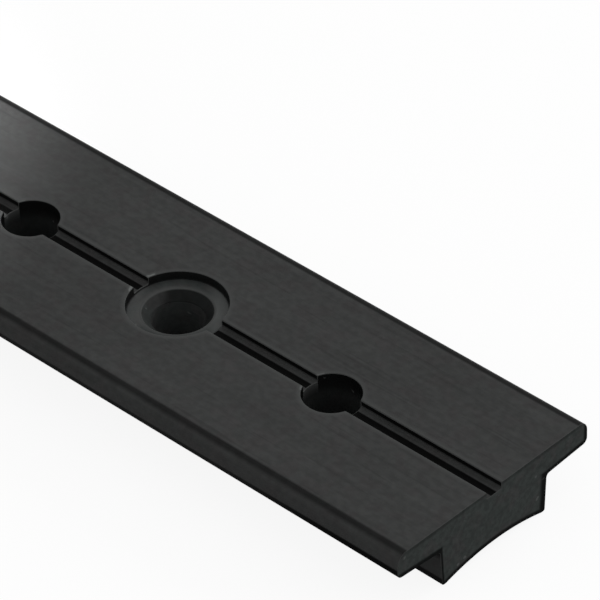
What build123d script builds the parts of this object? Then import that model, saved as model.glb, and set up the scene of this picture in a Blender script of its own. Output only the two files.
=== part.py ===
"""Aluminium sail track: one extruded length with a T section, drilled for screws and stop pins.

The length runs along X, Y is across the track and Z is up. The origin is the middle of the
underside, so the toes of the foot lie on Z = 0. All sizes are in millimetres.
"""
from build123d import *
from math import isclose
import os

# Overall sizes
LENGTH = 600.0
HEAD_WIDTH = 32.0
HEIGHT = 9.0

# Head: two flanges that a car's jaws run under, thicker where they meet the foot
FLANGE_EDGE = 3.3
FLANGE_ROOT = 3.8
UPPER_EDGE_RADIUS = 1.5
LOWER_EDGE_RADIUS = 0.8
ROOT_RADIUS = 0.5

# Foot: sides drawn in a little towards the deck, hollowed underneath between two flat toes
FOOT_ROOT_WIDTH = 18.0
FOOT_TOE_WIDTH = 17.4
TOE_FLAT = 0.6
TOE_RADIUS = 0.3
ARCH_RISE = 1.1

# Groove along the middle of the top face
GROOVE_WIDTH = 2.5
GROOVE_DEPTH = 1.0
GROOVE_RADIUS = 0.2

# Fastener holes: a shallow flat seat, then a countersink down to the clearance hole
FASTENER_PITCH = 100.0
FASTENER_DIAMETER = 6.6
COUNTERSINK_DIAMETER = 8.8
COUNTERSINK_ANGLE = 90.0
SEAT_DIAMETER = 12.4
SEAT_DEPTH = 1.2

# Stop holes: plain holes for spring pins, one on each side of every fastener hole
STOP_OFFSET = 25.0
STOP_DIAMETER = 7.2

head_half = HEAD_WIDTH / 2
root_half = FOOT_ROOT_WIDTH / 2
toe_half = FOOT_TOE_WIDTH / 2
arch_half = toe_half - TOE_FLAT
groove_half = GROOVE_WIDTH / 2
groove_floor = HEIGHT - GROOVE_DEPTH
fastener_count = int(LENGTH // FASTENER_PITCH)

# Points nearer than this are one corner of the section
SAME_PLACE = 1e-6


def corners(sketch, y, z):
    """The section's left and right corners at this distance from the middle and this height."""
    return sketch.vertices().filter_by(
        lambda v: isclose(abs(v.X), y, abs_tol=SAME_PLACE) and isclose(v.Y, z, abs_tol=SAME_PLACE)
    )


with BuildPart() as track_section:
    with BuildSketch(Plane.YZ) as section:
        with BuildLine():
            ThreePointArc((-arch_half, 0), (0, ARCH_RISE), (arch_half, 0))
            right_side = Polyline(
                (arch_half, 0),
                (toe_half, 0),
                (root_half, HEIGHT - FLANGE_ROOT),
                (head_half, HEIGHT - FLANGE_EDGE),
                (head_half, HEIGHT),
                (groove_half, HEIGHT),
                (groove_half, groove_floor),
                (0, groove_floor),
            )
            mirror(right_side, about=Plane.YZ)
        make_face()
        fillet(corners(section, head_half, HEIGHT), UPPER_EDGE_RADIUS)
        fillet(corners(section, head_half, HEIGHT - FLANGE_EDGE), LOWER_EDGE_RADIUS)
        fillet(corners(section, root_half, HEIGHT - FLANGE_ROOT), ROOT_RADIUS)
        fillet(corners(section, toe_half, 0), TOE_RADIUS)
        fillet(corners(section, groove_half, groove_floor), GROOVE_RADIUS)
    extrude(amount=LENGTH / 2, both=True)

    with GridLocations(FASTENER_PITCH, 0, fastener_count, 1):
        with Locations((0, 0, HEIGHT)):
            CounterBoreHole(FASTENER_DIAMETER / 2, SEAT_DIAMETER / 2, SEAT_DEPTH)
        with Locations((0, 0, HEIGHT - SEAT_DEPTH)):
            CounterSinkHole(
                FASTENER_DIAMETER / 2, COUNTERSINK_DIAMETER / 2, counter_sink_angle=COUNTERSINK_ANGLE
            )
        with Locations((-STOP_OFFSET, 0, HEIGHT), (STOP_OFFSET, 0, HEIGHT)):
            Hole(STOP_DIAMETER / 2)

os.makedirs("parts", exist_ok=True)
track_section.part.label = "track_section"
export_step(track_section.part, "parts/track_section.step")
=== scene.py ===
"""Sail track: a drilled, black-anodised aluminium extrusion in a plain studio.

Every surface is worked out with numpy in the frame of the packed model, in metres: X runs along the
track, Y across it and Z up from the deck.
"""

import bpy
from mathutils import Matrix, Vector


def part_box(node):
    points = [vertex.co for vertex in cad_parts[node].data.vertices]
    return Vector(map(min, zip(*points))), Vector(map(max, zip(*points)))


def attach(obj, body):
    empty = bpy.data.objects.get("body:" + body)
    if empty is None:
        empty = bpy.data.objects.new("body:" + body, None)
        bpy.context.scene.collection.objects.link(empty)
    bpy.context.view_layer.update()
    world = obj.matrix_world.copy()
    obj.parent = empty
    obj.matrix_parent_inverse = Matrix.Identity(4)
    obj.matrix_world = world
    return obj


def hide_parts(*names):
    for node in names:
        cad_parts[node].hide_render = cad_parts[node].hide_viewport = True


bl_info = {
    "name": "Sail track section",
    "version": (1, 0, 0),
    "blender": (4, 5, 0),
    "location": "View3D > Sidebar > Sail track",
    "description": "Builds a drilled T-section sail track, its black anodising and a plain studio",
    "category": "Object",
}

from math import asin, cos, pi, radians, sin

import bpy
import numpy as np
from bpy.props import FloatProperty, FloatVectorProperty, IntProperty, PointerProperty
from mathutils import Matrix, Vector

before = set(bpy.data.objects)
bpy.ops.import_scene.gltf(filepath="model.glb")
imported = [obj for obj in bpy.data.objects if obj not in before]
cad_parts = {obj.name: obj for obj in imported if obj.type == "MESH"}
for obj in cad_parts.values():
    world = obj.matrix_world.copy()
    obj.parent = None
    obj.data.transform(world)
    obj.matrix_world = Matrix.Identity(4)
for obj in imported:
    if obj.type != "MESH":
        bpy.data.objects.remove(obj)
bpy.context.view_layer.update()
NODE = "track_section"
NODE_LOW, NODE_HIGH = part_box(NODE)
MM = 0.001
WELD = 2e-7
EXTRUDED, DRILLED, SAWN, EDGE, GROOVE, CONE = range(6)

# The marks that the skin's faces carry for the material, and the finishes that have each.
MARKS = {"drilled": (DRILLED, CONE), "cone": CONE, "sawn": SAWN, "edge": EDGE, "groove": GROOVE}

# Rings of mesh round a hole: shares of the way from its border to the cell's rectangle, above and below,
# and the turns of its rounded edge.
TOP_SHARES = (1, 0.62, 0.34, 0.14, 0)
UNDER_SHARES = (0.1, 0.4, 1)
EDGE_TURNS = np.radians((30, 60, 90))

# Wear and painted glints where the groove runs into a hole. A border with thin dye has 1, and a rim corner
# with a painted glint has 3.
SEAT_LIP_GLINT = 3.0
STOP_LIP_GLINT = 2.1
LIP_GLINT_SPAN = (1.4, 2.6)

# Fades of tone over the skin, most of them painted shade: start and end, in millimetres from the line, face
# or axis that the use names, and then the share at each, which are 0 and 1 where left out. The two fades
# across the seat by side place a painted highlight.
STOP_WALL_INNER = (-0.2, -0.1)
STOP_WALL_OUTER = (0.3, 0.2)
STOP_WALL_SHADE = (-3.5, -1.2, 0.4, 0.92)
CONE_SHADE = (-2.8, -1.5, 0.25, 0.68)
SEAT_WALL = (-0.15, -0.05)
SEAT_INNER = (0.05, 0.3)
SEAT_OUTER = (-0.1, -0.3)
SEAT_HIGHLIGHT_RIGHT = (3.0, 5.2, 0.0, 0.5)
SEAT_HIGHLIGHT_LEFT = (-3.4, -5.4, 0.0, 0.3)
UPPER_WALL = (-1.15, -1.05)
DEEP_IN_HOLE = (-1.25, -2.1)
GROOVE_FLOOR = (0.45, 0.15)
GROOVE_STREAKS = (0.35, 0.62)
SHOULDER_INNER = (-1.8, -1.4)
SHOULDER_OUTER = (-0.4, -1.1)
SHOULDER_SHADE = (-1.4, -1.0, 0.0, 0.68)
NEAR_END = (-32.0, -3.0)
LOWER_EDGE_SIDE = (-1.4, -0.6)
LOWER_EDGE_HEIGHT = (-2.0, -2.4)
OUTER_SIDE = (-0.8, -0.1)
OUTER_SIDE_SHADE = (-2.2, -0.8, 0.2, 0.12)
FOOT_SIDE = (0.6, 0.3)
FOOT_TOP = (-3.0, -3.5)
FOOT_SHADE = (-5.4, -4.0, 0.3, 0.9)
TOE_SHADE = (1.4, 0.8, 0.0, 0.9)
END_OUTLINE = (0.85, 0.4, 0.0, 0.85)
END_TOP_LINE = (-0.65, -0.3, 0.0, 0.3)
END_SIDE_SCALE = (-1.0, 1.0, 1.8, 0.65)

# Plain shares of tone, painted shade among them on the seat wall, in the groove and along the lower edge, and
# the growth of the lower edge's painted dark line towards the near end, in millimetres.
SEAT_WALL_SHADE = 0.8
GROOVE_SHADE = (0.93, 0.05)
LOWER_EDGE_SHADE = (0.765, 0.972)
LOWER_EDGE_GROWTH = 0.22
BORDER_WEAR = 0.8
MOTTLE = 0.09
SAWN_MOTTLE = 0.10

# Directions across a hole: towards the near end, for the countersink's painted shade, and sideways to the
# camera, for the seat's painted highlight.
TOWARDS_NEAR_END = (0.84, 0.54, 0.0)
SIDEWAYS = (0.71, 0.70, 0.0)

# Noise mostly stays between these two values.
NOISE_LOW = 0.3
NOISE_HIGH = 0.7

# What is added to the roughness, and depths of tool marks as multiples of the die lines' depth.
RECESS_ROUGHNESS = 0.4
CONE_ROUGHNESS = -0.08
SAWN_ROUGHNESS = 0.05
SATIN_SWING = 0.03
TURNING_DEPTH = 1.5
SAWING_DEPTH = 3.0
SAW_CENTRE = (0.0, 0.02, -0.11)

# The floor, in metres: its reach from the middle, its points along each side and its height.
FLOOR_REACH = 4.0
FLOOR_POINTS = 9
FLOOR_HEIGHT = -0.02 * MM
FLOOR_PALENESS = 0.9


def length_property(name, description, millimetres):
    """A length that the sidebar shows with its unit, given here in millimetres."""
    return FloatProperty(
        name=name, description=description, unit="LENGTH", precision=5, min=0.0, default=millimetres * MM
    )


def colour_property(name, description, default):
    """A colour swatch, as linear red, green and blue."""
    return FloatVectorProperty(
        name=name, description=description, subtype="COLOR", size=3, min=0.0, max=1.0, default=default
    )


def share_property(name, description, default):
    """A share from 0 to 1, on a slider."""
    return FloatProperty(name=name, description=description, subtype="FACTOR", min=0, max=1, default=default)


def angle_property(name, description, degrees):
    """An angle, given here in degrees."""
    return FloatProperty(name=name, description=description, subtype="ANGLE", default=radians(degrees))


def power_property(name, description, watts):
    """A lamp's power."""
    return FloatProperty(name=name, description=description, unit="POWER", min=0, default=watts)


def count_property(name, description, default, least, most):
    """A whole number between two limits."""
    return IntProperty(name=name, description=description, default=default, min=least, max=most)


class TrackSectionSizes(bpy.types.PropertyGroup):
    """Sizes of the extrusion and of its cross-section"""

    length: length_property("Length", "Length between the sawn ends", (NODE_HIGH.x - NODE_LOW.x) / MM)
    head_width: length_property("Head width", "Width over both flanges", (NODE_HIGH.y - NODE_LOW.y) / MM)
    height: length_property("Height", "Height from the toes to the top face", NODE_HIGH.z / MM)
    flange_edge: length_property("Flange edge", "Flange thickness at its outer edge", 3.3)
    flange_root: length_property("Flange root", "Flange thickness beside the foot", 3.8)
    upper_radius: length_property("Upper edge radius", "Rounding of the head's upper edges", 1.5)
    lower_radius: length_property("Lower edge radius", "Rounding of the head's lower edges", 0.8)
    root_radius: length_property("Root radius", "Hollow corner between flange and foot", 0.5)
    foot_root: length_property("Foot width at the head", "Width of the foot just under the head", 18.0)
    foot_toe: length_property("Foot width at the deck", "Width of the foot over its toes", 17.4)
    toe_flat: length_property("Toe flat", "Width of the flat strip under each toe", 0.6)
    toe_radius: length_property("Toe radius", "Rounding of the toes' outer corners", 0.3)
    arch_rise: length_property("Arch rise", "Height of the hollow under the foot", 1.1)
    groove_width: length_property("Groove width", "Width of the groove in the top face", 2.5)
    groove_depth: length_property("Groove depth", "Depth of the groove in the top face", 1.0)
    groove_radius: length_property("Groove radius", "Rounding of the groove's inner corners", 0.2)
    groove_edge: length_property("Groove edge", "Rounding of the groove's upper edges", 0.15)
    saw_edge: length_property("Sawn edge", "Deburring chamfer round the sawn ends", 0.06)
    polished: length_property("Polished border", "Border of thin dye beside the groove and the holes", 0.6)


class TrackHoleSizes(bpy.types.PropertyGroup):
    """Sizes and places of the drilled holes"""

    fastener_pitch: length_property("Fastener pitch", "Distance from one fastener hole to the next", 100.0)
    stop_offset: length_property("Stop offset", "Distance from a fastener hole to its stop holes", 25.0)
    clearance: length_property("Clearance hole", "Diameter of the hole for the screw's shank", 6.6)
    countersink: length_property("Countersink", "Diameter of the countersink at the seat", 8.8)
    seat: length_property("Seat", "Diameter of the flat seat", 12.4)
    seat_depth: length_property("Seat depth", "Depth of the flat seat under the top face", 1.2)
    stop: length_property("Stop hole", "Diameter of the plain holes for stop pins", 7.2)
    edge: length_property("Hole edge", "Rounding of the drilled edges", 0.1)
    margin: length_property("Margin", "Mesh border round the widest hole", 1.3)
    side_steps: count_property("Side steps", "Mesh steps across the track beside each hole", 6, 2, 24)
    long_steps: count_property("Long steps", "Mesh steps along the track beside each hole", 20, 4, 48)


class AnodisedFinish(bpy.types.PropertyGroup):
    """Colours and texture of the black anodising"""

    face_colour: colour_property("Face colour", "Colour of the extruded faces", (0.0412, 0.0424, 0.0418))
    sawn_colour: colour_property("Sawn colour", "Colour of the sawn ends", (0.0345, 0.0397, 0.0378))
    drilled_colour: colour_property("Drilled colour", "Colour of the holes' walls", (0.0360, 0.0393, 0.0385))
    wear_colour: colour_property("Wear colour", "Colour where the dye is thin", (0.056, 0.058, 0.057))
    warm_colour: colour_property("Warm patches", "Colour of the warmer patches", (0.0410, 0.0390, 0.0393))
    # Painted glints at the rim corners and the painted highlight on the seat take this colour, and so do the
    # small chips.
    highlight_and_chip_colour: colour_property("Highlight and chip colour", "Colour of the painted glints and seat highlight, and of the chips", (0.115, 0.12, 0.118))
    roughness: share_property("Roughness", "Roughness of the satin faces", 0.42)
    specular: share_property("Specular level", "Gloss level of the sealed oxide", 0.022)
    die_lines: length_property("Die lines", "Depth of the fine lines that the die leaves", 0.0016)
    grain: length_property("Grain", "Depth of the etched grain", 0.0015)


class StudioSettings(bpy.types.PropertyGroup):
    """Camera, lamps, floor and sky"""

    azimuth: angle_property("Azimuth", "Turn of the camera round the track", 44.712)
    elevation: angle_property("Elevation", "Height angle of the camera", 38.197)
    roll: angle_property("Roll", "Turn of the camera about its own axis", -1.862)
    distance: length_property("Distance", "Distance from the camera to its aim point", 545.915)
    aim_from_end: length_property("Aim from the end", "Distance from the near end to the aim point", 39.62)
    aim_off_groove: length_property("Aim off the groove", "Distance from the groove to the aim point", 10.088)
    lens: FloatProperty(
        name="Lens", description="Focal length on a 36 mm sensor", unit="CAMERA", default=277.752
    )
    floor_colour: colour_property("Floor colour", "Colour of the floor where it is seen", (0.92, 0.92, 0.92))
    bounce_colour: colour_property("Bounce colour", "Colour of the floor's own light", (0.3, 0.3, 0.3))
    sky_strength: FloatProperty(
        name="Sky strength", description="Strength of the even light from all round", min=0, default=0.75
    )
    key_power: power_property("Back light power", "Power of the wide lamp behind the track", 3.4)
    side_power: power_property("Side light power", "Power of the lamp beyond the near end", 0.55)
    sheen_power: power_property("Sheen power", "Power of the spot lamp that makes the sheen", 170.0)


SETTINGS = {
    "track_sizes": TrackSectionSizes,
    "track_holes": TrackHoleSizes,
    "track_finish": AnodisedFinish,
    "track_studio": StudioSettings,
}


def rounded_path(points, radii, steps):
    """A path through the points, with an arc of the given radius at each inner one.

    An arc's ends lie at radius / tan(half the corner's angle) from the corner, and its centre on the
    bisector, at radius / sin(that half angle). Its points are even turns about the centre.
    """
    points = [np.array(point, float) for point in points]
    path = [points[0][None]]
    for before, corner, after, radius in zip(points, points[1:], points[2:], radii):
        back = (before - corner) / np.linalg.norm(before - corner)
        ahead = (after - corner) / np.linalg.norm(after - corner)
        half = np.arccos(back @ ahead) / 2
        bisector = (back + ahead) / np.linalg.norm(back + ahead)
        centre = corner + bisector * radius / np.sin(half)
        start = corner + back * radius / np.tan(half) - centre
        end = corner + ahead * radius / np.tan(half) - centre
        turn = np.arctan2(start[0] * end[1] - start[1] * end[0], start @ end)
        angle = np.linspace(0, turn, steps + 1)
        square = np.array([-start[1], start[0]])
        path.append(centre + np.outer(np.cos(angle), start) + np.outer(np.sin(angle), square))
    path.append(points[-1][None])
    return np.concatenate(path)


def arch_height(y, sizes):
    """Height of the hollow underside: one circle through both toes' inner edges and the top of the arch."""
    reach = sizes.foot_toe / 2 - sizes.toe_flat
    radius = (reach**2 + sizes.arch_rise**2) / (2 * sizes.arch_rise)
    return sizes.arch_rise - radius + np.sqrt(radius**2 - np.minimum(np.abs(y), reach) ** 2)


def groove_profile(sizes):
    """The groove from its -Y edge to its +Y edge, as (y, z): rounded edges, walls, inner corners, floor."""
    half = sizes.groove_width / 2
    border = half + sizes.groove_edge + sizes.polished
    floor = sizes.height - sizes.groove_depth
    corners = [(border, sizes.height), (half, sizes.height), (half, floor), (0, floor)]
    side = rounded_path(corners, [sizes.groove_edge, sizes.groove_radius], steps=3)
    side = np.insert(side, -1, (side[-2] + side[-1]) / 2, axis=0)
    return np.concatenate([side * (-1, 1), side[-2::-1]])


def flank_profile(inner, sizes):
    """From (inner, top) round the flange and the foot to (inner, arch), as (y, z) with rounded corners."""
    head = sizes.head_width / 2
    root = sizes.foot_root / 2
    toe = sizes.foot_toe / 2
    reach = toe - sizes.toe_flat
    corners = [
        (inner, sizes.height),
        (head, sizes.height),
        (head, sizes.height - sizes.flange_edge),
        (root, sizes.height - sizes.flange_root),
        (toe, 0),
        (reach, 0),
    ]
    radii = [sizes.upper_radius, sizes.lower_radius, sizes.root_radius, sizes.toe_radius]
    run = rounded_path(corners, radii, steps=8)
    arch_y = np.array([(reach + inner) / 2, inner])
    return np.concatenate([run, np.column_stack([arch_y, arch_height(arch_y, sizes)])])


def groove_finish(y, z, sizes):
    """The finish of each strip between one point of a section and the next, and the points with thin dye."""
    depth = sizes.height - (z + np.roll(z, -1)) / 2
    near = np.abs(y) < sizes.groove_width / 2 + 1.01 * sizes.groove_edge
    ahead = np.roll(near, -1)
    on_wall = depth > 0.99 * sizes.groove_edge
    on_rounding = depth > 0.01 * sizes.groove_edge
    strip = np.where(on_wall, GROOVE, np.where(on_rounding, EDGE, EXTRUDED))
    shallow = depth < 1.01 * sizes.groove_depth
    rounded = z > sizes.height - 1.01 * sizes.groove_edge
    return np.where(near & ahead & shallow, strip, EXTRUDED), near & rounded


class CellFrame:
    """The rectangle of mesh round one hole, as one closed ring of columns, counter-clockwise from above.

    Columns on the groove keep the groove profile's own y, at the +X side and then at the -X side. Between
    them the columns stand at even steps along the rectangle's other sides.
    """

    def __init__(self, sizes, holes):
        groove = groove_profile(sizes)
        self.reach = groove[-1, 0]
        self.half_x = holes.stop_offset / 2
        self.half_y = holes.seat / 2 + holes.margin
        self.side_y = np.linspace(self.reach, self.half_y, holes.side_steps + 1)[1:]
        long_x = np.linspace(self.half_x, -self.half_x, holes.long_steps + 1)
        self.long_x = long_x
        end = np.full(len(self.side_y), self.half_x)
        upper = np.concatenate(
            [
                np.column_stack([end, self.side_y]),
                np.column_stack([long_x[1:-1], np.full(len(long_x) - 2, self.half_y)]),
                np.column_stack([-end, self.side_y[::-1]]),
            ]
        )
        right = np.column_stack([np.full(len(groove), self.half_x), groove[:, 0]])
        flat = np.full(len(upper), sizes.height)
        self.groove = groove
        self.between = len(upper)
        self.plan = np.concatenate([right, upper, -right, -upper])
        self.top = np.concatenate([groove[:, 1], flat, groove[:, 1], flat])
        self.on_groove = np.concatenate([np.full(len(groove), True), np.full(len(upper), False)] * 2)
        self.finish, self.wear_and_glint = groove_finish(self.plan[:, 1], self.top, sizes)

    def rim(self, radius):
        """The columns on a circle on top: the groove's keep their y, the others turn at even steps."""
        x = np.sqrt(radius**2 - self.groove[:, 0] ** 2)
        right = np.column_stack([x, self.groove[:, 0]])
        start = asin(self.reach / radius)
        turn = np.linspace(start, pi - start, self.between + 2)[1:-1]
        upper = radius * np.column_stack([np.cos(turn), np.sin(turn)])
        return np.concatenate([right, upper, -right, -upper])

    def narrowed(self, plan, radius):
        """A ring on a smaller circle: groove columns keep their y, x = sqrt(radius^2 - y^2); others scale."""
        scaled = plan * radius / np.linalg.norm(plan, axis=1, keepdims=True)
        x = np.sign(plan[:, 0]) * np.sqrt(radius**2 - np.minimum(np.abs(plan[:, 1]), radius) ** 2)
        straight = np.column_stack([x, plan[:, 1]])
        return np.where(self.on_groove[:, None], straight, scaled)

    def spread(self, plan, share):
        """Points between a ring and the rectangle: ring + share * (rectangle - ring)."""
        return plan + share * (self.plan - plan)


class RingStack:
    """Rings of points, one below or inside the other, and the finish of the strip that ends at each."""

    def __init__(self):
        self.rings = []
        self.finishes = []
        self.wear_and_glint = []

    def add(self, plan, z, finish, wear_and_glint=False):
        self.rings.append(np.column_stack([plan, np.broadcast_to(z, len(plan))]))
        self.finishes.append(finish)
        self.wear_and_glint.append(np.broadcast_to(wear_and_glint, len(plan)))


def hole_surface(frame_ring, sizes, holes, radius, lip_glint, wall):
    """A drilled cell as rings of (x, y, z) round z, from the top rectangle through the hole to the arch.

    On top a point is ring + share * (rectangle - ring), at the section's height. The edge is a quarter
    turn of radius edge. Down the hole each ring is the last one scaled to the wall profile's (r, z).
    Underneath the points spread to the same rectangle, at the arch's height.
    """
    edge = holes.edge
    stack = RingStack()
    mouth = frame_ring.rim(radius + edge)
    border = frame_ring.narrowed(mouth, radius + edge + sizes.polished)
    for share in TOP_SHARES:
        stack.add(frame_ring.spread(border, share), frame_ring.top, EXTRUDED, frame_ring.wear_and_glint)
    beside_groove = frame_ring.on_groove & (np.abs(mouth[:, 1]) > sizes.groove_width / 2)
    # Rim corners on the -X side, where the groove meets the hole, carry a painted glint; elsewhere 1 marks
    # the thin-dye border.
    lip = np.where(beside_groove & (mouth[:, 0] < 0), lip_glint, 1)
    stack.add(mouth, frame_ring.top, EXTRUDED, lip)
    for turn in EDGE_TURNS:
        plan = frame_ring.narrowed(mouth, radius + edge - edge * np.sin(turn))
        stack.add(plan, frame_ring.top - edge * (1 - np.cos(turn)), EDGE, np.minimum(lip, 1 + np.cos(turn)))
    under_groove = sizes.height - sizes.groove_depth + sizes.groove_radius - edge
    height = np.minimum(stack.rings[-1][:, 2], under_groove)
    stack.add(plan, height, DRILLED)
    outward = plan / np.linalg.norm(plan, axis=1, keepdims=True)
    for (ring_radius, z), finish, wear_and_glint in wall:
        stack.add(outward * ring_radius, z, finish, wear_and_glint)
    bore = wall[-1][0][0]
    for turn in (0, *EDGE_TURNS):
        plan = outward * (bore + edge * (1 - np.cos(turn)))
        z = arch_height(plan[:, 1], sizes) + edge * (1 - np.sin(turn))
        stack.add(plan, z, DRILLED if turn == 0 else EDGE)
    for share in UNDER_SHARES:
        spread = frame_ring.spread(plan, share)
        stack.add(spread, arch_height(spread[:, 1], sizes), EXTRUDED)
    finish = np.repeat(np.array(stack.finishes[1:])[:, None], len(frame_ring.plan), axis=1)
    finish[: len(TOP_SHARES)] = frame_ring.finish
    return np.array(stack.rings), finish, np.array(stack.wear_and_glint)


def stop_wall(sizes, holes):
    """Wall profile (r, z), finish and wear of a plain hole: one radius, at a few heights."""
    return [((holes.stop / 2, share * sizes.height), DRILLED, False) for share in (0.7, 0.35)]


def fastener_wall(sizes, holes):
    """Wall profile (r, z), finish and wear of a fastener hole: seat, 45 degree cone and bore."""
    seat_z = sizes.height - holes.seat_depth
    cone_depth = (holes.countersink - holes.clearance) / 2
    bore = holes.clearance / 2
    corners = [
        (holes.seat / 2, seat_z + 2 * holes.edge),
        (holes.seat / 2, seat_z),
        (holes.countersink / 2, seat_z),
        (bore, seat_z - cone_depth),
        (bore, 0.3 * sizes.height),
    ]
    path = rounded_path(corners, [holes.edge, 1.5 * holes.edge, 1.5 * holes.edge], steps=3)
    hollow, rim, throat, low = path[1:5], path[5:9], path[9:13], path[13]
    return [
        *((point, DRILLED, False) for point in hollow),
        (rim[0] + (sizes.polished, 0), DRILLED, False),
        (rim[0], DRILLED, True),
        *((point, EDGE, True) for point in rim[1:]),
        (rim[-1] - (holes.edge, holes.edge), CONE, False),
        *((point, CONE, False) for point in throat),
        (low, DRILLED, False),
    ]


def hole_places(sizes, holes):
    """(x, kind) of every hole: fasteners at an even pitch about the middle, stops an offset to each side."""
    count = round(sizes.length / holes.fastener_pitch)
    fasteners = (np.arange(count) - (count - 1) / 2) * holes.fastener_pitch
    stops = np.concatenate([fasteners - holes.stop_offset, fasteners + holes.stop_offset])
    return sorted([(x, "fastener") for x in fasteners] + [(x, "stop") for x in stops])


def section_loop(cell, sizes):
    """The whole cross-section as one closed loop of (y, z): top, +Y flank, arch, -Y flank."""
    y = np.concatenate([-cell.side_y[::-1], cell.groove[:, 0], cell.side_y])
    flat = np.full(len(cell.side_y), sizes.height)
    top = np.column_stack([y, np.concatenate([flat, cell.groove[:, 1], flat])])
    flank = flank_profile(cell.half_y, sizes)[1:-1]
    arch = np.column_stack([y[::-1], arch_height(y[::-1], sizes)])
    return np.concatenate([top, flank, arch, (flank * (-1, 1))[::-1]])


def inset_loop(loop, distance):
    """The loop moved inward by a distance along its normals, each the mean of its two runs' normals."""
    run = np.roll(loop, -1, axis=0) - loop
    run /= np.linalg.norm(run, axis=1, keepdims=True)
    along = run + np.roll(run, 1, axis=0)
    along /= np.linalg.norm(along, axis=1, keepdims=True)
    return loop + distance * np.column_stack([along[:, 1], -along[:, 0]])


def carried(profile, stations):
    """A profile of (y, z) carried along X: one row of points for each x."""
    x = np.repeat(np.asarray(stations, float)[:, None], len(profile), axis=1)
    y, z = (np.broadcast_to(column, x.shape) for column in profile.T)
    return np.stack([x, y, z], axis=2)


def grid_quads(rows, columns, closed):
    """Corner numbers of a grid's quads, row by row; a closed grid joins its last column to its first."""
    row, column = np.meshgrid(np.arange(rows - 1), np.arange(columns - (not closed)), indexing="ij")
    after = (column + 1) % columns
    corners = [row * columns + column, row * columns + after, (row + 1) * columns + after]
    return np.stack([*corners, (row + 1) * columns + column], axis=2).reshape(-1, 4)


class Shell:
    """Grids of points that share their borders, welded into one closed skin."""

    def __init__(self):
        self.points = []
        self.quads = []
        self.finishes = []
        self.wear_and_glint = []
        self.count = 0

    def add(self, grid, closed, finish, wear_and_glint=False):
        rows, columns = grid.shape[:2]
        quads = grid_quads(rows, columns, closed)
        self.points.append(grid.reshape(-1, 3))
        self.quads.append(quads + self.count)
        self.finishes.append(np.broadcast_to(finish, (rows - 1, columns - (not closed))).ravel())
        self.wear_and_glint.append(np.broadcast_to(wear_and_glint, (rows, columns)).ravel())
        self.count += rows * columns

    def welded(self):
        """Points, quads and finishes, with points that agree to WELD made one and empty quads left out."""
        points = np.concatenate(self.points)
        finish = np.concatenate(self.finishes)
        _, first, number = np.unique(
            np.round(points / WELD).astype(np.int64), axis=0, return_index=True, return_inverse=True
        )
        quads = number.ravel()[np.concatenate(self.quads)]
        kept = quads != np.roll(quads, 1, axis=1)
        whole = kept.sum(axis=1) >= 3
        return points[first], quads[whole], kept[whole], finish[whole], np.concatenate(self.wear_and_glint)[first]


def loop_numbers(points, loop):
    """The welded point numbers of a loop of (x, y, z), without repeats."""
    key = {tuple(row): number for number, row in enumerate(np.round(points / WELD).astype(np.int64).tolist())}
    numbers = [key[tuple(row)] for row in np.round(loop / WELD).astype(np.int64).tolist()]
    return [number for number, last in zip(numbers, numbers[-1:] + numbers[:-1]) if number != last]


def track_shell(sizes, holes):
    """Every grid of the track: drilled cells with their flanks, plain stretches, and the sawn edges."""
    cell = CellFrame(sizes, holes)
    loop = section_loop(cell, sizes)
    walls = {
        "stop": hole_surface(cell, sizes, holes, holes.stop / 2, STOP_LIP_GLINT, stop_wall(sizes, holes)),
        "fastener": hole_surface(cell, sizes, holes, holes.seat / 2, SEAT_LIP_GLINT, fastener_wall(sizes, holes)),
    }
    flank = carried(flank_profile(cell.half_y, sizes), cell.long_x)
    half_turn = np.array([-1, -1, 1])
    shell = Shell()
    face_end = sizes.length / 2 - sizes.saw_edge
    reached = -face_end
    loop_finish, loop_worn = groove_finish(*loop.T, sizes)
    for x, kind in hole_places(sizes, holes):
        if x - cell.half_x > reached + WELD:
            shell.add(carried(loop, [x - cell.half_x, reached]), True, loop_finish, loop_worn)
        surface, finish, wear_and_glint = walls[kind]
        shell.add(surface + (x, 0, 0), True, finish, wear_and_glint)
        shell.add(flank + (x, 0, 0), False, EXTRUDED)
        shell.add(flank * half_turn + (x, 0, 0), False, EXTRUDED)
        reached = x + cell.half_x
    shell.add(carried(loop, [face_end, reached]), True, loop_finish, loop_worn)
    step = np.linalg.norm(loop - np.roll(loop, 1, axis=0), axis=1)
    outline = loop[step > WELD]
    inner = inset_loop(outline, sizes.saw_edge)
    outer_x = sizes.length / 2
    cap = carried(inner, [outer_x])
    shell.add(np.concatenate([cap, carried(outline, [face_end])]), True, EDGE)
    shell.add(np.concatenate([carried(outline, [-face_end]), cap * (-1, 1, 1)]), True, EDGE)
    return shell, cap[0]


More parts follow.
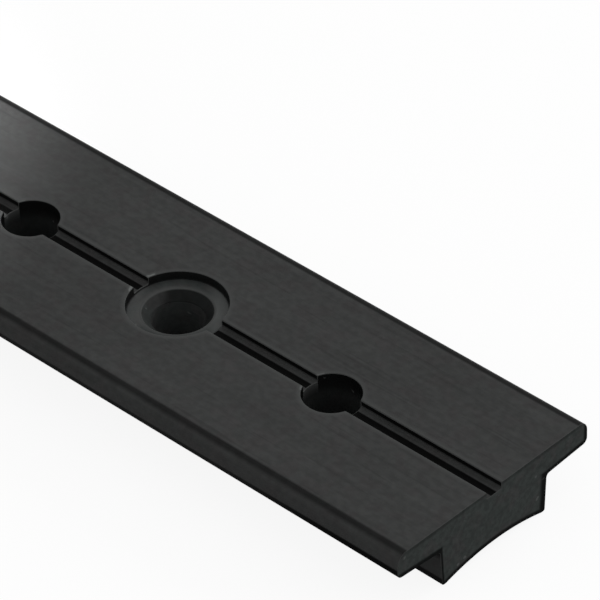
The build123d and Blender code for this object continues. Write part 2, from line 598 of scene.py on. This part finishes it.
def mesh_from_shell(name, shell, cap):
    """A mesh of the welded quads and the two sawn caps, with one number per face for each finish."""
    points, quads, kept, finish, wear_and_glint = shell.welded()
    ends = [loop_numbers(points, cap)[::-1], loop_numbers(points, cap * (-1, 1, 1))]
    corners = np.concatenate([quads[kept], *ends])
    sizes = np.concatenate([kept.sum(axis=1), [len(end) for end in ends]])
    finish = np.concatenate([finish, [SAWN, SAWN]])
    mesh = bpy.data.meshes.new(name)
    mesh.vertices.add(len(points))
    mesh.vertices.foreach_set("co", points.ravel())
    mesh.loops.add(len(corners))
    mesh.loops.foreach_set("vertex_index", corners)
    mesh.polygons.add(len(sizes))
    mesh.polygons.foreach_set("loop_start", np.cumsum(sizes) - sizes)
    mesh.update(calc_edges=True)
    if mesh.validate():
        raise RuntimeError("the track's skin has faces that don't hold together")
    if len(mesh.edges) * 2 != len(mesh.loops):
        raise RuntimeError("the track's skin isn't closed")
    for attribute, values in MARKS.items():
        layer = mesh.attributes.new(attribute, "FLOAT", "FACE")
        layer.data.foreach_set("value", np.isin(finish, values).astype(np.float32))
    layer = mesh.attributes.new("wear_and_glint", "FLOAT", "POINT")
    layer.data.foreach_set("value", wear_and_glint.astype(np.float32))
    mesh.polygons.foreach_set("use_smooth", np.full(len(sizes), True))
    mesh.set_sharp_from_angle(angle=radians(34))
    return mesh


class NodeBoard:
    """The nodes of a material or of the sky, joined in short calls."""

    def __init__(self, owner):
        owner.use_nodes = True
        self.tree = owner.node_tree
        self.tree.nodes.clear()

    def node(self, kind, label="", inputs=(), **settings):
        """A node with its settings, and with values on its first inputs or on those that a dict names."""
        made = self.tree.nodes.new(kind)
        made.label = label
        for name, value in settings.items():
            setattr(made, name, value)
        for which, value in inputs.items() if isinstance(inputs, dict) else enumerate(inputs):
            self.put(made.inputs[which], value)
        return made

    def put(self, socket, value):
        """Sets a number or colour on the socket, or joins another node's output to it."""
        if isinstance(value, bpy.types.NodeSocket):
            self.tree.links.new(value, socket)
        else:
            socket.default_value = value

    def show(self, kind, shader):
        """Joins the last shader to an output node of the given kind."""
        self.node(kind, inputs={"Surface": shader.outputs[0]})

    def math(self, operation, *values, label=""):
        return self.node("ShaderNodeMath", label, values, operation=operation).outputs[0]

    def folded(self, operation, values, label):
        """One operation over all the values in turn, from the left."""
        result = values[0]
        for value in values[1:]:
            result = self.math(operation, result, value, label=label)
        return result

    def product(self, *values, label=""):
        return self.folded("MULTIPLY", values, label)

    def total(self, *values, label=""):
        return self.folded("ADD", values, label)

    def most(self, *values, label=""):
        """The greatest of the values."""
        return self.folded("MAXIMUM", values, label)

    def rest(self, share, label=""):
        """What a share leaves of 1."""
        return self.math("SUBTRACT", 1.0, share, label=label)

    def vector(self, operation, *values, label=""):
        outputs = self.node("ShaderNodeVectorMath", label, values, operation=operation).outputs
        return outputs["Value"] if operation in ("LENGTH", "DOT_PRODUCT") else outputs[0]

    def scaled(self, colour, factor, label=""):
        """A colour times one number."""
        inputs = {0: colour, "Scale": factor}
        return self.node("ShaderNodeVectorMath", label, inputs, operation="SCALE").outputs[0]

    def noise(self, vector, stretch, detail=2.0, label=""):
        """Noise with one cell per metre / stretch along each axis, from 0 to 1."""
        inputs = {"Vector": self.vector("MULTIPLY", vector, stretch), "Scale": 1.0, "Detail": detail}
        return self.node("ShaderNodeTexNoise", label, inputs, noise_dimensions="3D").outputs[0]

    def lines(self, distance, per_metre, label=""):
        """Noise along one distance, as turning or sawing leaves it."""
        inputs = {"W": distance, "Scale": per_metre, "Detail": 2.0}
        return self.node("ShaderNodeTexNoise", label, inputs, noise_dimensions="1D").outputs[0]

    def span(self, value, start, end, low=0.0, high=1.0, label=""):
        """A value carried smoothly to low at the start and high at the end, and held beyond them."""
        inputs = {"Value": value, "From Min": start, "From Max": end, "To Min": low, "To Max": high}
        return self.node("ShaderNodeMapRange", label, inputs, interpolation_type="SMOOTHSTEP").outputs[0]

    def fade(self, value, start, end, low=0.0, high=1.0, origin=0.0, label=""):
        """A span whose start and end are in millimetres from an origin that is in metres."""
        return self.span(value, origin + start * MM, origin + end * MM, low, high, label)

    def tone(self, noise, low, high, label=""):
        """Noise carried to a tone between low and high."""
        return self.span(noise, NOISE_LOW, NOISE_HIGH, low, high, label)

    def blend(self, share, first, second, label=""):
        """Two colours mixed: the first where the share is 0, and the second where it is 1."""
        inputs = {0: share}
        for which, colour in ((6, first), (7, second)):
            inputs[which] = colour if isinstance(colour, bpy.types.NodeSocket) else (*colour, 1)
        return self.node("ShaderNodeMix", label, inputs, data_type="RGBA").outputs[2]

    def attribute(self, name):
        return self.node("ShaderNodeAttribute", name, attribute_name=name).outputs["Fac"]


class TrackSkin(NodeBoard):
    """A material's nodes, with what its tones and patterns read at each point of the track's skin."""

    def __init__(self, material, holes):
        super().__init__(material)
        self.place = self.node("ShaderNodeTexCoord").outputs["Object"]
        marks = (self.attribute(name) for name in MARKS)
        self.drilled, self.cone, self.sawn, self.edge, self.groove = marks
        self.wear_and_glint = self.attribute("wear_and_glint")
        self.extruded = self.rest(self.most(self.drilled, self.sawn), "Extruded faces")
        self.x, self.y, self.z = self.node("ShaderNodeSeparateXYZ", "Axes", [self.place]).outputs
        self.aside = self.math("ABSOLUTE", self.y, label="Distance from the middle line")
        half_cell = holes.stop_offset / 2
        hole_x = self.math("WRAP", self.x, half_cell, -half_cell, label="X from the nearest hole")
        plan = self.node("ShaderNodeCombineXYZ", "Plan from the hole", [hole_x, self.y])
        self.from_hole = plan.outputs[0]
        self.from_axis = self.vector("LENGTH", self.from_hole, label="Distance from the hole's axis")
        on_seat_wall = self.fade(self.from_axis, *SEAT_WALL, origin=holes.seat / 2)
        self.seat_wall = self.product(self.drilled, on_seat_wall, label="Seat wall")
        self.fine_lines = self.noise(self.place, (45, 2600, 2600), 3.0, "Fine die lines")
        self.wide_lines = self.noise(self.place, (20, 900, 900), 2.0, "Wide die lines")
        self.cloud = self.noise(self.place, (60, 160, 160), 3.0, "Clouding")


def hole_shade(skin, sizes, holes):
    """Painted shade on the holes' walls: stop holes darker towards the top, countersinks darker except on
    their side away from the near end, seat walls evenly.
    """
    stop_wall_share = skin.product(
        skin.fade(skin.from_axis, *STOP_WALL_INNER, origin=holes.stop / 2),
        skin.fade(skin.from_axis, *STOP_WALL_OUTER, origin=holes.stop / 2),
        skin.math("SUBTRACT", skin.drilled, skin.cone),
        label="Stop hole's wall",
    )
    stop_shade = skin.product(stop_wall_share, skin.fade(skin.z, *STOP_WALL_SHADE, origin=sizes.height))
    # Painted shade over most of the countersink, lighter on its side away from the near end.
    to_near_end = skin.vector("DOT_PRODUCT", skin.from_hole, TOWARDS_NEAR_END)
    cone_shade = skin.product(skin.cone, skin.fade(to_near_end, *CONE_SHADE, label="Cone painted shade"))
    seat_shade = skin.product(skin.seat_wall, SEAT_WALL_SHADE)
    return skin.most(stop_shade, cone_shade, seat_shade)


def groove_shade(skin, sizes):
    """Painted shade in the groove: nearly black on its walls and middle line, with a paler streak on each
    side.
    """
    on_floor = skin.fade(skin.z, *GROOVE_FLOOR, origin=sizes.height - sizes.groove_depth)
    streaks = skin.product(skin.fade(skin.aside, *GROOVE_STREAKS), on_floor)
    return skin.product(skin.groove, skin.span(streaks, 0.0, 1.0, *GROOVE_SHADE), label="Groove shade")


def long_edge_shade(skin, sizes):
    """Painted shade on the extruded faces: along shoulders, lower edges and toes, on outer sides and foot
    sides.

    The lower edge's painted dark line grows wider and darker towards the near end.
    """
    flange = sizes.head_width / 2
    shoulder = skin.product(
        skin.fade(skin.aside, *SHOULDER_INNER, origin=flange),
        skin.fade(skin.aside, *SHOULDER_OUTER, origin=flange),
        skin.fade(skin.z, *SHOULDER_SHADE, origin=sizes.height),
        label="Shoulder",
    )
    near_end = skin.fade(skin.x, *NEAR_END, origin=sizes.length / 2, label="Near end")
    edge_z = skin.math("MULTIPLY_ADD", near_end, -LOWER_EDGE_GROWTH * MM, skin.z)
    lower_edge = skin.product(
        skin.fade(skin.aside, *LOWER_EDGE_SIDE, origin=flange),
        skin.fade(edge_z, *LOWER_EDGE_HEIGHT, origin=sizes.height),
        skin.span(near_end, 0.0, 1.0, *LOWER_EDGE_SHADE),
        label="Lower edge",
    )
    outer_side = skin.product(
        skin.fade(skin.aside, *OUTER_SIDE, origin=flange),
        skin.fade(skin.z, *OUTER_SIDE_SHADE, origin=sizes.height),
        label="Outer side",
    )
    foot_side = skin.product(
        skin.fade(skin.aside, *FOOT_SIDE, origin=sizes.foot_root / 2),
        skin.fade(skin.z, *FOOT_TOP, origin=sizes.height),
        skin.fade(skin.z, *FOOT_SHADE, origin=sizes.height),
        label="Foot side",
    )
    toe = skin.fade(skin.z, *TOE_SHADE, label="Toe")
    shade = skin.most(shoulder, lower_edge, outer_side, foot_side, toe)
    return skin.product(shade, skin.extruded, label="Long edges")


def sawn_shade(skin, sizes):
    """Painted shade on a sawn end: a dark band just inside its lower outline, and a faint dark line along its
    top.

    A point's distance inward from below is the lesser of its height over the arch, z - rise + rise * (y /
    reach)^2, and its distance from the foot's side, or else its height over the flange's underside. At the
    far flange it is no more than the distance from the flange's tip.
    """
    arch_drop = sizes.arch_rise / (sizes.foot_toe / 2 - sizes.toe_flat) ** 2
    over_arch = skin.math("MULTIPLY_ADD", skin.product(skin.aside, skin.aside), arch_drop, skin.z)
    over_arch = skin.math("SUBTRACT", over_arch, sizes.arch_rise)
    flange_low = sizes.height - sizes.flange_root
    foot_slope = (sizes.foot_root - sizes.foot_toe) / 2 / flange_low
    foot_face = skin.math("MULTIPLY_ADD", skin.z, foot_slope, sizes.foot_toe / 2)
    side_scale = skin.fade(skin.y, *END_SIDE_SCALE, label="Wider on the far side")
    from_side = skin.product(skin.math("SUBTRACT", foot_face, skin.aside), side_scale)
    flange_rise = (sizes.flange_root - sizes.flange_edge) / (sizes.head_width - sizes.foot_root) * 2
    flange_start = flange_rise * sizes.foot_root / 2 - flange_low
    over_flange = skin.math("MULTIPLY_ADD", skin.aside, -flange_rise, flange_start)
    over_flange = skin.total(skin.z, over_flange)
    from_tip = skin.math("SUBTRACT", sizes.head_width / 2, skin.y)
    inward = skin.most(skin.math("MINIMUM", over_arch, from_side), over_flange)
    inward = skin.math("MINIMUM", inward, from_tip, label="Inward from below")
    outline_shade = skin.fade(inward, *END_OUTLINE, label="Dark lower outline")
    top_line = skin.fade(skin.z, *END_TOP_LINE, origin=sizes.height, label="Upper outline")
    return skin.product(skin.most(outline_shade, top_line), skin.sawn, label="Sawn end's outline")


def surface_tone(skin):
    """The paler and darker pattern of the dye: die lines, clouding, mottling and drawing scratches."""
    mottle = skin.noise(skin.place, (1000, 1200, 1200), 3.0, "Mottle")
    mottle_share = skin.math("MULTIPLY_ADD", skin.sawn, SAWN_MOTTLE, MOTTLE, label="Mottle strength")
    scratches = skin.noise(skin.place, (60, 1700, 1700), 1.0, "Drawing scratches")
    return skin.product(
        skin.tone(skin.fine_lines, 0.96, 1.03, "Fine line tone"),
        skin.tone(skin.wide_lines, 0.96, 1.04, "Wide line tone"),
        skin.tone(skin.cloud, 0.95, 1.05, "Cloud tone"),
        skin.math("MULTIPLY_ADD", skin.tone(mottle, -1.0, 1.0), mottle_share, 1.0, label="Mottle tone"),
        skin.span(scratches, 0.64, 0.71, 1.0, 0.89, "Scratch tone"),
    )


def wear_glint_and_highlight_colour(skin, finish, sizes, holes, colour):
    """The colour with thin dye on edges and borders, painted glints at the rim corners, a painted highlight
    on the seat's sides, and small chips.
    """
    on_upper_wall = skin.fade(skin.z, *UPPER_WALL, origin=sizes.height)
    upper_wall = skin.product(skin.drilled, on_upper_wall)
    open_face = skin.rest(skin.most(upper_wall, skin.groove), "Outside walls and groove")
    any_wear = skin.math("MINIMUM", skin.wear_and_glint, 1.0)
    border = skin.product(any_wear, open_face, BORDER_WEAR, label="Polished border")
    worn_edge = skin.product(skin.edge, skin.span(skin.cloud, 0.35, 0.6, 0.4, 0.8), label="Worn edge")
    colour = skin.blend(skin.most(border, worn_edge), colour, finish.wear_colour, "Thin dye")
    # Painted glints at the rim corners where the groove meets a hole.
    lips = skin.product(skin.span(skin.wear_and_glint, *LIP_GLINT_SPAN), open_face, label="Bright lips")
    colour = skin.blend(lips, colour, finish.highlight_and_chip_colour, "Painted glints on the lips")
    # Painted highlight on the seat's flat, strongest on its right side and weaker on its left as seen from
    # the camera.
    seat = skin.product(
        skin.fade(skin.from_axis, *SEAT_INNER, origin=holes.countersink / 2),
        skin.fade(skin.from_axis, *SEAT_OUTER, origin=holes.seat / 2),
        skin.drilled,
    )
    sideways = skin.vector("DOT_PRODUCT", skin.from_hole, SIDEWAYS)
    seat_highlight = skin.total(skin.fade(sideways, *SEAT_HIGHLIGHT_RIGHT), skin.fade(sideways, *SEAT_HIGHLIGHT_LEFT))
    colour = skin.blend(skin.product(seat, seat_highlight), colour, finish.highlight_and_chip_colour, "Painted seat highlight")
    chips = skin.noise(skin.place, (900, 900, 900), 0.0, "Chips")
    chipped = skin.product(
        skin.span(chips, 0.78, 0.84, 0.0, 0.5),
        skin.most(skin.sawn, skin.drilled),
        skin.rest(skin.seat_wall),
    )
    return skin.blend(chipped, colour, finish.highlight_and_chip_colour, "Small chips")


def relief_height(skin, finish):
    """Height of the fine relief: die lines on the faces, turning in the holes, saw marks, grain all over."""
    grain = skin.noise(skin.place, (3500, 7000, 7000), 2.0, "Etched grain")
    tool_path = skin.math("SUBTRACT", skin.from_axis, skin.z)
    turning = skin.lines(tool_path, 5200, "Turning marks")
    to_saw = skin.vector("SUBTRACT", skin.place, SAW_CENTRE)
    sawing = skin.lines(skin.vector("LENGTH", to_saw), 3200, "Saw marks")
    return skin.total(
        skin.product(skin.fine_lines, skin.extruded, finish.die_lines),
        skin.product(grain, finish.grain),
        skin.product(turning, skin.drilled, TURNING_DEPTH * finish.die_lines),
        skin.product(sawing, skin.sawn, SAWING_DEPTH * finish.die_lines),
    )


def anodised_material(finish, sizes, holes):
    """Black anodised aluminium: die lines and etched grain along the faces, turned holes, sawn ends."""
    material = bpy.data.materials.new("Black anodised aluminium")
    skin = TrackSkin(material, holes)
    face = skin.blend(skin.drilled, finish.face_colour, finish.drilled_colour, "Faces and holes")
    face = skin.blend(skin.sawn, face, finish.sawn_colour, "Sawn ends")
    warm = skin.noise(skin.place, (420, 420, 420), 1.0, "Warm patches")
    face = skin.blend(skin.span(warm, 0.48, 0.62, 0.0, 0.5), face, finish.warm_colour, "Warm tint")
    shades = (
        groove_shade(skin, sizes),
        long_edge_shade(skin, sizes),
        sawn_shade(skin, sizes),
    )
    # Painted shade of the holes, the groove, the long edges and the sawn ends darkens the toned colour.
    shade = skin.most(hole_shade(skin, sizes, holes), *shades, label="Shade")
    tone = skin.product(surface_tone(skin), skin.rest(shade))
    colour = wear_glint_and_highlight_colour(skin, finish, sizes, holes, skin.scaled(face, tone, "Toned face"))

    deep = skin.fade(skin.z, *DEEP_IN_HOLE, origin=sizes.height, label="Deep in a hole")
    bore = skin.math("SUBTRACT", skin.product(skin.drilled, deep), skin.cone)
    recess = skin.most(bore, *shades, label="Matt recesses")
    swing = (finish.roughness - SATIN_SWING, finish.roughness + SATIN_SWING)
    rough = skin.total(
        skin.tone(skin.wide_lines, *swing, "Satin"),
        skin.product(recess, RECESS_ROUGHNESS),
        skin.product(skin.cone, CONE_ROUGHNESS),
        skin.product(skin.sawn, SAWN_ROUGHNESS),
        label="Roughness",
    )

    bump = skin.node("ShaderNodeBump", "Relief", {"Distance": 1.0, "Height": relief_height(skin, finish)})
    inputs = {"Base Color": colour, "Roughness": rough, "Normal": bump.outputs[0]}
    shader = skin.node("ShaderNodeBsdfPrincipled", "Anodising", inputs)
    shader.inputs["Specular IOR Level"].default_value = finish.specular
    skin.show("ShaderNodeOutputMaterial", shader)
    return material


class SAILTRACK_OT_add_extrusion(bpy.types.Operator):
    """Build the drilled extrusion in place of the packed node and give it its anodised finish"""

    bl_idname = "sail_track.add_extrusion"
    bl_label = "Add the track"

    def execute(self, context):
        scene = context.scene
        shell, cap = track_shell(scene.track_sizes, scene.track_holes)
        mesh = mesh_from_shell("track_extrusion", shell, cap)
        mesh.materials.append(anodised_material(scene.track_finish, scene.track_sizes, scene.track_holes))
        track = bpy.data.objects.new("track_extrusion", mesh)
        scene.collection.objects.link(track)
        weighted = track.modifiers.new("Weighted normals", "WEIGHTED_NORMAL")
        weighted.keep_sharp = True
        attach(track, "root")
        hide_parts(NODE)
        return {"FINISHED"}


def seen_rays(board):
    """1 for rays that the camera, a reflection or transmission sends, and 0 for the plain bounce of light."""
    path = board.node("ShaderNodeLightPath")
    kinds = ("Is Camera Ray", "Is Glossy Ray", "Is Transmission Ray")
    return board.most(*(path.outputs[kind] for kind in kinds), label="Seen rays")


def floor_material(studio):
    """A white floor that keeps a soft shadow where it is seen, and gives back a plain, even bounce."""
    material = bpy.data.materials.new("Studio floor")
    board = NodeBoard(material)
    seen = seen_rays(board)
    colour = board.blend(seen, studio.bounce_colour, studio.floor_colour)
    matt = board.node("ShaderNodeBsdfDiffuse", "Floor", {"Color": colour})
    white = board.node("ShaderNodeEmission", "White", {"Color": (1, 1, 1, 1), "Strength": 1.0})
    layers = (board.product(seen, FLOOR_PALENESS), matt.outputs[0], white.outputs[0])
    board.show("ShaderNodeOutputMaterial", board.node("ShaderNodeMixShader", "Paleness", layers))
    return material


def sky(studio):
    """Even light from all round, which near the horizon is white where it is seen."""
    world = bpy.data.worlds.new("Studio sky")
    board = NodeBoard(world)
    direction = board.node("ShaderNodeTexCoord").outputs["Generated"]
    upward = board.node("ShaderNodeSeparateXYZ", "Direction", [direction]).outputs[2]
    low = board.span(upward, 0.15, 0.35, 1.0, 0.0, "Near the horizon")
    pale = board.product(seen_rays(board), low)
    strength = board.span(pale, 0.0, 1.0, studio.sky_strength, 1.0)
    even = board.node("ShaderNodeBackground", "Sky", {"Color": (1, 1, 1, 1), "Strength": strength})
    board.show("ShaderNodeOutputWorld", even)
    return world


def aimed_lamp(name, kind, place, target, power, **settings):
    """A lamp that looks at a target and isn't seen itself, with the settings of its kind."""
    lamp = bpy.data.lights.new(name, kind)
    lamp.energy = power
    for setting, value in settings.items():
        setattr(lamp, setting, value)
    holder = bpy.data.objects.new(name, lamp)
    holder.location = place
    holder.rotation_euler = (Vector(target) - Vector(place)).to_track_quat("-Z", "Y").to_euler()
    holder.visible_camera = False
    bpy.context.scene.collection.objects.link(holder)


def add_lamps(studio):
    """A wide lamp behind the track, a smaller one beyond its near end, and a narrow spot for the sheen."""
    aimed_lamp(
        "Back light", "AREA", place=(0.32, 0.86, 0.50), target=(0.2, 0, 0), power=studio.key_power,
        shape="RECTANGLE", size=0.6, size_y=0.3,
    )
    aimed_lamp(
        "Side light", "AREA", place=(0.98, 0.42, 0.53), target=(0.25, 0, 0), power=studio.side_power,
        shape="RECTANGLE", size=0.4, size_y=0.4,
    )
    aimed_lamp(
        "Sheen lamp", "SPOT", place=(-0.260, 0.457, 0.509), target=(0.185, 0.005, 0.009),
        power=studio.sheen_power, spot_size=radians(2.55), spot_blend=1.0, shadow_soft_size=0.021,
    )


def floor_mesh():
    """A level square of even quads: x and y at even steps from -reach to reach, z at one height."""
    side = np.linspace(-FLOOR_REACH, FLOOR_REACH, FLOOR_POINTS)
    x, y = np.meshgrid(side, side, indexing="ij")
    points = np.stack([x, y, np.full_like(x, FLOOR_HEIGHT)], axis=2).reshape(-1, 3)
    quads = grid_quads(FLOOR_POINTS, FLOOR_POINTS, False)[:, ::-1]
    mesh = bpy.data.meshes.new("studio_floor")
    mesh.from_pydata(points.tolist(), [], quads.tolist())
    return mesh


def photo_camera(studio, sizes):
    """The camera: back is (sin a cos e, -cos a cos e, sin e), right is (cos a, sin a, 0), then the roll."""
    azimuth, elevation, roll = studio.azimuth, studio.elevation, studio.roll
    back = Vector((sin(azimuth) * cos(elevation), -cos(azimuth) * cos(elevation), sin(elevation)))
    level = Vector((cos(azimuth), sin(azimuth), 0))
    upright = back.cross(level)
    right = cos(roll) * level + sin(roll) * upright
    up = cos(roll) * upright - sin(roll) * level
    aim = Vector((sizes.length / 2 - studio.aim_from_end, studio.aim_off_groove, sizes.height))
    place = Matrix((right, up, back)).transposed().to_4x4()
    place.translation = aim + back * studio.distance
    data = bpy.data.cameras.new("Photo camera")
    data.sensor_width = 36.0
    data.lens = studio.lens
    data.clip_start = 0.01
    data.clip_end = 50.0
    camera = bpy.data.objects.new("Photo camera", data)
    camera.matrix_world = place
    bpy.context.scene.collection.objects.link(camera)
    return camera


class SAILTRACK_OT_add_studio(bpy.types.Operator):
    """Set up the floor, the sky, the lamps and the camera of the photograph"""

    bl_idname = "sail_track.add_studio"
    bl_label = "Add the studio"

    def execute(self, context):
        scene = context.scene
        studio = scene.track_studio
        mesh = floor_mesh()
        mesh.materials.append(floor_material(studio))
        floor = bpy.data.objects.new("studio_floor", mesh)
        scene.collection.objects.link(floor)
        scene.world = sky(studio)
        add_lamps(studio)
        scene.camera = photo_camera(studio, scene.track_sizes)
        scene.view_settings.view_transform = "Standard"
        return {"FINISHED"}


class SAILTRACK_PT_panel(bpy.types.Panel):
    """Sizes, finish and studio of the track"""

    bl_idname = "SAILTRACK_PT_panel"
    bl_label = "Sail track"
    bl_space_type = "VIEW_3D"
    bl_region_type = "UI"
    bl_category = "Sail track"

    def draw(self, context):
        layout = self.layout
        for name, settings in SETTINGS.items():
            box = layout.box()
            box.label(text=settings.__doc__)
            group = getattr(context.scene, name)
            for setting in settings.__annotations__:
                box.prop(group, setting)
        layout.operator(SAILTRACK_OT_add_extrusion.bl_idname)
        layout.operator(SAILTRACK_OT_add_studio.bl_idname)


CLASSES = (*SETTINGS.values(), SAILTRACK_OT_add_extrusion, SAILTRACK_OT_add_studio, SAILTRACK_PT_panel)


def register():
    for cls in CLASSES:
        bpy.utils.register_class(cls)
    for name, settings in SETTINGS.items():
        setattr(bpy.types.Scene, name, PointerProperty(type=settings))


def unregister():
    for name in SETTINGS:
        delattr(bpy.types.Scene, name)
    for cls in reversed(CLASSES):
        bpy.utils.unregister_class(cls)


def main():
    register()
    bpy.ops.sail_track.add_extrusion()
    bpy.ops.sail_track.add_studio()


if __name__ == "__main__":
    main()
